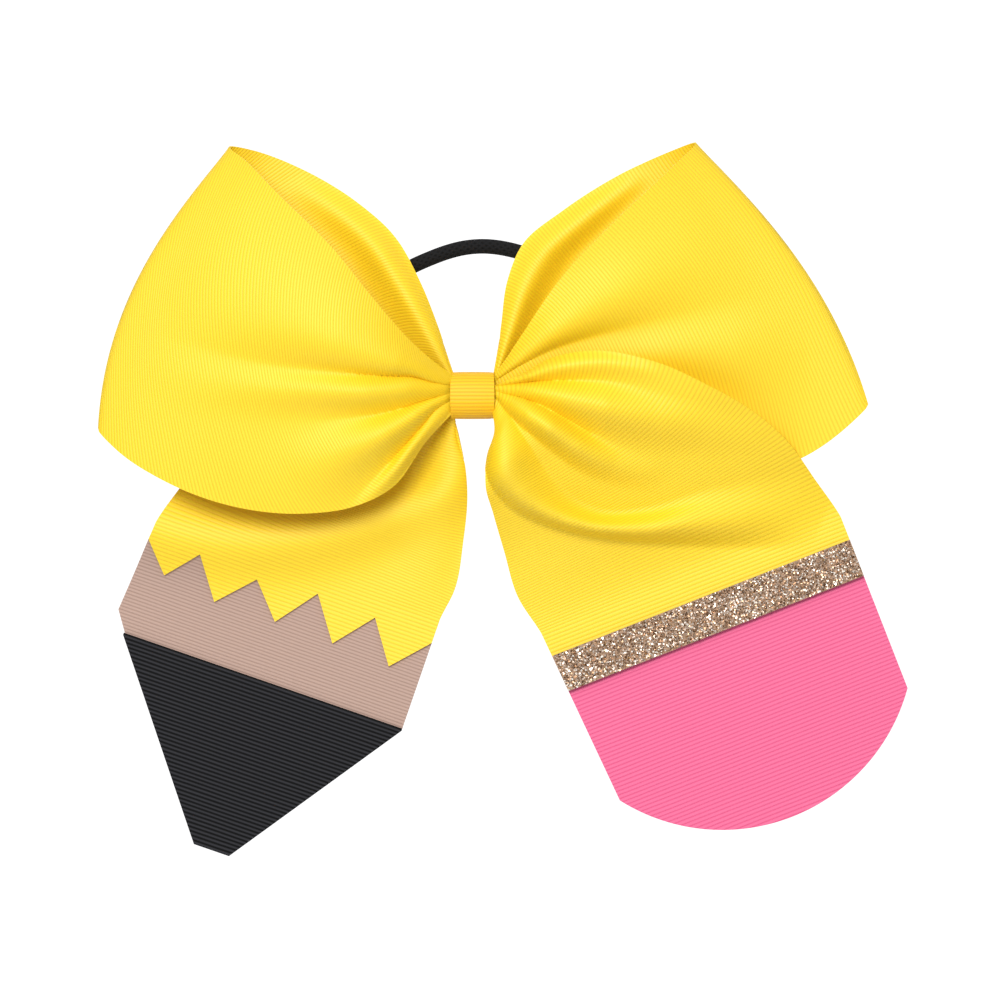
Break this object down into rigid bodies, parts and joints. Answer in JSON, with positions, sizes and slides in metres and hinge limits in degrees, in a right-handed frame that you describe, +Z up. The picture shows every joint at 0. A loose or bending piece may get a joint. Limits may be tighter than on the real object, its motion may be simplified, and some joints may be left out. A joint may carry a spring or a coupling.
{
  "type": "cheer hair bow",
  "caption": "Large ribbon hair bow dressed as a pencil: two pinched loops, a toothed tail ending in a dark point, a banded tail with a round end, and a hair elastic behind.",
  "frame": {"origin": "middle of the flat lapped back of the centre wrap, where the bow meets the head or a clip", "axes": "+Z up as worn, the bow faces -Y, +X to the right of somebody looking at its front"},
  "size_m": [0.1969, 0.0319, 0.1725],
  "materials": {
    "yellow_ribbon": "woven grosgrain, soft sheen across its ribs",
    "beige_ribbon": "woven grosgrain",
    "black_ribbon": "woven grosgrain",
    "pink_ribbon": "woven grosgrain",
    "gold_glitter": "coarse glitter on a ribbon backing",
    "yellow_wrap": "narrow woven grosgrain with fine ribs",
    "glue": "hot melt film",
    "thread": "waxed thread",
    "elastic": "braided cover over rubber",
    "sleeve": "shrunk sleeve"
  },
  "bodies": {
    "bow": {"front_gather": "yellow_ribbon", "middle_gather": "yellow_ribbon", "back_gather": "yellow_ribbon", "left_loop": "yellow_ribbon", "right_loop": "yellow_ribbon", "centre_wrap": "yellow_wrap", "wrap_glue": "glue", "binding_thread": "thread"},
    "left_tail": {"left_tail": "yellow_ribbon", "wood_ribbon": "beige_ribbon", "lead_ribbon": "black_ribbon"},
    "right_tail": {"right_tail": "yellow_ribbon", "glitter_band": "gold_glitter", "eraser_ribbon": "pink_ribbon"},
    "hair_elastic": {"hair_elastic": "elastic", "elastic_sleeve": "sleeve"}
  },
  "joints": [
    {"name": "left_tail_lift", "type": "hinge", "parent": "bow", "child": "left_tail", "pos_m": [-0.0056, -0.00795, 0.002], "axis": [0.9063, 0, 0.4226], "range_deg": [0, 35], "stiffness_Nm_per_rad": 0.02},
    {"name": "right_tail_lift", "type": "hinge", "parent": "bow", "child": "right_tail", "pos_m": [0.0056, -0.0142, 0.002], "axis": [-0.9063, 0, -0.4226], "range_deg": [0, 35], "stiffness_Nm_per_rad": 0.02},
    {"name": "elastic_swing", "type": "hinge", "parent": "bow", "child": "hair_elastic", "pos_m": [0, -0.004, 0], "axis": [-1, 0, 0], "range_deg": [0, 80], "stiffness_Nm_per_rad": 0.004}
  ]
}
